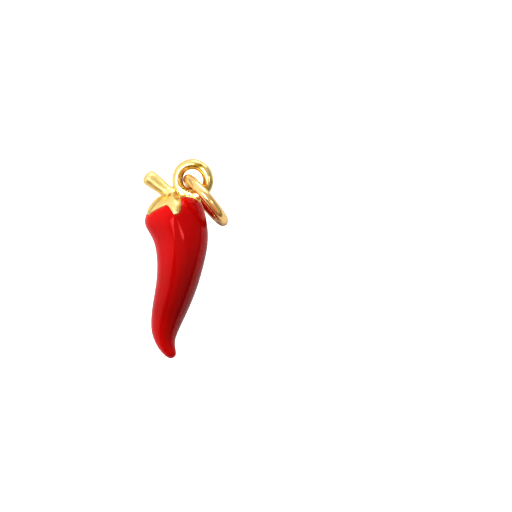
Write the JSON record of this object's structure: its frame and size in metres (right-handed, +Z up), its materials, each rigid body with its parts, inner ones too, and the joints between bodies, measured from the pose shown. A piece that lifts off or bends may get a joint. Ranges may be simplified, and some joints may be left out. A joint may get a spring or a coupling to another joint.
{
  "type": "charm",
  "caption": "Small chili pepper charm that lies on its side: red enamel body, gold-tone calyx with pointed lobes, short stem, soldered hanging loop and a jump ring.",
  "frame": {"origin": "middle of the bounding box's bottom face, on the surface that the charm lies on", "axes": "+Z up, away from the surface; +Y from the pepper's tip to its crown; +X towards the shoulder with the hanging loop"},
  "size_m": [0.0074, 0.017, 0.0055],
  "materials": {
    "gold_casting": "polished gold plating",
    "red_enamel": "glossy enamel",
    "gold_wire": "polished gold plating, slightly rosier"
  },
  "bodies": {
    "root": {"pepper_casting": "gold_casting", "red_enamel": "red_enamel", "jump_ring": "gold_wire"}
  },
  "joints": []
}
